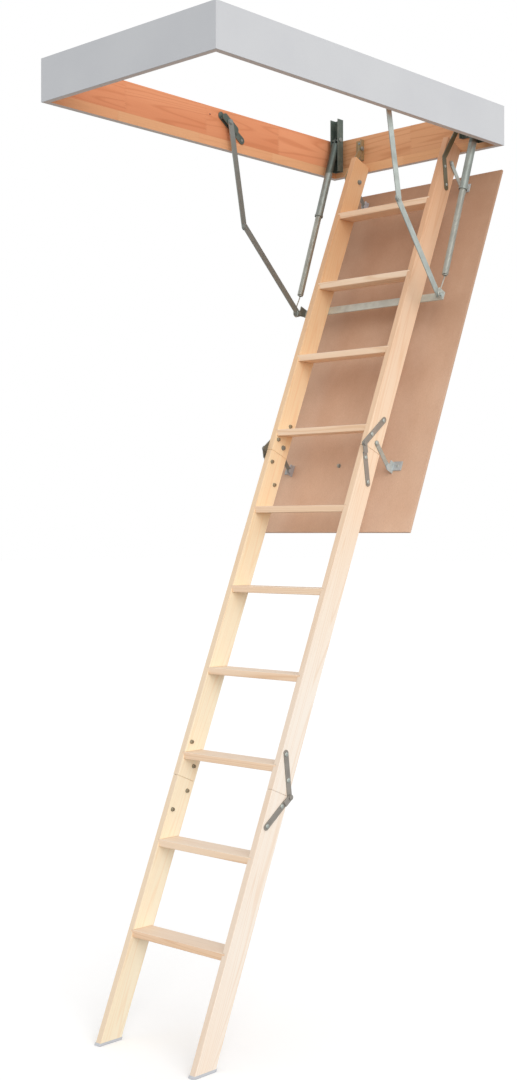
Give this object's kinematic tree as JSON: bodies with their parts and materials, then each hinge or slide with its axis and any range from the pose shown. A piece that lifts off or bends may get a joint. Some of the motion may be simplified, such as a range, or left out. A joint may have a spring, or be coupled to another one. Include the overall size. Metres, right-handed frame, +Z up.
{
  "type": "attic ladder",
  "caption": "Folding wooden attic ladder in a casing, with a thin hatch panel on parallel links, knee arms and sleeved balance springs, shown deployed.",
  "frame": {"origin": "centre of the casing's lower face, level with the ceiling", "axes": "+Z up, +X across the casing, +Y towards the hinge end; a climber faces +Y"},
  "size_m": [0.7, 1.329, 2.863],
  "materials": {
    "pine": "bare finger-jointed pine, matt",
    "spruce": "planed pale spruce, satin",
    "facing": "pale grey laminate facing, matt",
    "hardboard": "brown hardboard, matt",
    "zinc": "zinc-plated strip steel, satin",
    "dark_steel": "dark grey-green lacquer, satin",
    "spring_steel": "drawn spring wire, semi-gloss",
    "foot_plastic": "pale bluish plastic, matt"
  },
  "bodies": {
    "casing": {"side_board_left": "pine", "side_board_right": "pine", "hinge_end_board": "pine", "free_end_board": "pine", "side_facings": "facing", "end_facings": "facing", "top_hinge_left": "dark_steel", "top_hinge_right": "dark_steel", "spring_bracket_left": "dark_steel", "spring_bracket_right": "dark_steel", "arm_bracket_left": "dark_steel", "arm_bracket_right": "dark_steel", "casing_pins": "zinc", "casing_screws": "zinc"},
    "upper_section": {"upper_stile_left": "spruce", "upper_stile_right": "spruce", "rung_1": "spruce", "rung_2": "spruce", "rung_3": "spruce", "rung_4": "spruce", "hinge_strap_left": "dark_steel", "hinge_strap_right": "dark_steel", "crossbar": "zinc", "upper_pins": "zinc", "fold1_upper_straps": "zinc", "upper_bolts": "zinc"},
    "middle_section": {"middle_stile_left": "spruce", "middle_stile_right": "spruce", "rung_5": "spruce", "rung_6": "spruce", "rung_7": "spruce", "rung_8": "spruce", "fold1_lower_straps": "zinc", "fold2_upper_straps": "zinc", "middle_bolts": "zinc"},
    "lower_section": {"lower_stile_left": "spruce", "lower_stile_right": "spruce", "rung_9": "spruce", "rung_10": "spruce", "fold2_lower_straps": "zinc", "lower_bolts": "zinc", "foot_cap_left": "foot_plastic", "foot_cap_right": "foot_plastic"},
    "link_top_right_body": {"link_top_right": "zinc"},
    "link_top_left_body": {"link_top_left": "zinc"},
    "link_low_right_body": {"link_low_right": "zinc"},
    "link_low_left_body": {"link_low_left": "zinc"},
    "hatch": {"hatch_panel": "hardboard", "panel_feet_top": "zinc", "panel_feet_low": "zinc", "panel_screws": "zinc", "pull_eye": "zinc"},
    "upper_arm_left_body": {"upper_arm_left": "zinc"},
    "upper_arm_right_body": {"upper_arm_right": "zinc"},
    "lower_arm_left_body": {"lower_arm_left": "zinc"},
    "lower_arm_right_body": {"lower_arm_right": "zinc"},
    "sleeve_left_body": {"spring_sleeve_left": "zinc"},
    "sleeve_right_body": {"spring_sleeve_right": "zinc"},
    "coil_left_body": {"spring_coil_left": "spring_steel"},
    "coil_right_body": {"spring_coil_right": "spring_steel"}
  },
  "joints": [
    {"name": "ladder_swing", "type": "hinge", "parent": "casing", "child": "upper_section", "pos_m": [0, 0.612, 0.078], "axis": [-1, 0, 0], "range_deg": [0, 61]},
    {"name": "middle_fold", "type": "hinge", "parent": "upper_section", "child": "middle_section", "pos_m": [0, 0.13106, -0.95932], "axis": [-1, 0, 0], "range_deg": [0, 180]},
    {"name": "lower_fold", "type": "hinge", "parent": "middle_section", "child": "lower_section", "pos_m": [0, -0.2029, -1.97313], "axis": [1, 0, 0], "range_deg": [0, 180]},
    {"name": "link_top_right_turn", "type": "hinge", "parent": "upper_section", "child": "link_top_right_body", "pos_m": [0, 0.57378, -0.04548], "axis": [1, 0, 0], "range_deg": [0, 85.96]},
    {"name": "link_top_left_turn", "type": "hinge", "parent": "upper_section", "child": "link_top_left_body", "pos_m": [0, 0.57378, -0.04548], "axis": [1, 0, 0], "range_deg": [0, 85.96]},
    {"name": "link_low_right_turn", "type": "hinge", "parent": "upper_section", "child": "link_low_right_body", "pos_m": [0, 0.19092, -0.95628], "axis": [1, 0, 0], "range_deg": [0, 85.96]},
    {"name": "link_low_left_turn", "type": "hinge", "parent": "upper_section", "child": "link_low_left_body", "pos_m": [0, 0.19092, -0.95628], "axis": [1, 0, 0], "range_deg": [0, 85.96]},
    {"name": "hatch_level", "type": "hinge", "parent": "link_low_right_body", "child": "hatch", "pos_m": [0, 0.24669, -1.02746], "axis": [-1, 0, 0], "range_deg": [0, 85.96]},
    {"name": "upper_arm_left_turn", "type": "hinge", "parent": "casing", "child": "upper_arm_left_body", "pos_m": [0, 0.09, 0.085], "axis": [-1, 0, 0], "range_deg": [0, 143.32]},
    {"name": "lower_arm_left_turn", "type": "hinge", "parent": "upper_section", "child": "lower_arm_left_body", "pos_m": [0, 0.38496, -0.49699], "axis": [1, 0, 0], "range_deg": [0, 45.28]},
    {"name": "spring_left_turn", "type": "hinge", "parent": "casing", "child": "sleeve_left_body", "pos_m": [0, 0.595, 0.12], "axis": [-1, 0, 0], "range_deg": [0, 59.61]},
    {"name": "spring_left_slide", "type": "slide", "parent": "sleeve_left_body", "child": "coil_left_body", "axis": [0, 0.3223, 0.9466], "range_m": [0, 0.0434]},
    {"name": "upper_arm_right_turn", "type": "hinge", "parent": "casing", "child": "upper_arm_right_body", "pos_m": [0, 0.09, 0.085], "axis": [-1, 0, 0], "range_deg": [0, 143.32]},
    {"name": "lower_arm_right_turn", "type": "hinge", "parent": "upper_section", "child": "lower_arm_right_body", "pos_m": [0, 0.38496, -0.49699], "axis": [1, 0, 0], "range_deg": [0, 45.28]},
    {"name": "spring_right_turn", "type": "hinge", "parent": "casing", "child": "sleeve_right_body", "pos_m": [0, 0.595, 0.12], "axis": [-1, 0, 0], "range_deg": [0, 59.61]},
    {"name": "spring_right_slide", "type": "slide", "parent": "sleeve_right_body", "child": "coil_right_body", "axis": [0, 0.3223, 0.9466], "range_m": [0, 0.0434]}
  ],
  "couplings": [
    {"joint": "lower_fold", "follows": "middle_fold", "ratio": 1},
    {"joint": "link_top_right_turn", "follows": "ladder_swing", "ratio": 1.4092},
    {"joint": "link_top_left_turn", "follows": "ladder_swing", "ratio": 1.4092},
    {"joint": "link_low_right_turn", "follows": "ladder_swing", "ratio": 1.4092},
    {"joint": "link_low_left_turn", "follows": "ladder_swing", "ratio": 1.4092},
    {"joint": "hatch_level", "follows": "ladder_swing", "ratio": 1.4092},
    {"joint": "upper_arm_left_turn", "follows": "ladder_swing", "ratio": 2.3496},
    {"joint": "lower_arm_left_turn", "follows": "ladder_swing", "ratio": 0.74237},
    {"joint": "spring_left_turn", "follows": "ladder_swing", "ratio": 0.97727},
    {"joint": "spring_left_slide", "follows": "ladder_swing", "m_per_rad": 0.040761},
    {"joint": "upper_arm_right_turn", "follows": "ladder_swing", "ratio": 2.3496},
    {"joint": "lower_arm_right_turn", "follows": "ladder_swing", "ratio": 0.74237},
    {"joint": "spring_right_turn", "follows": "ladder_swing", "ratio": 0.97727},
    {"joint": "spring_right_slide", "follows": "ladder_swing", "m_per_rad": 0.040761}
  ]
}
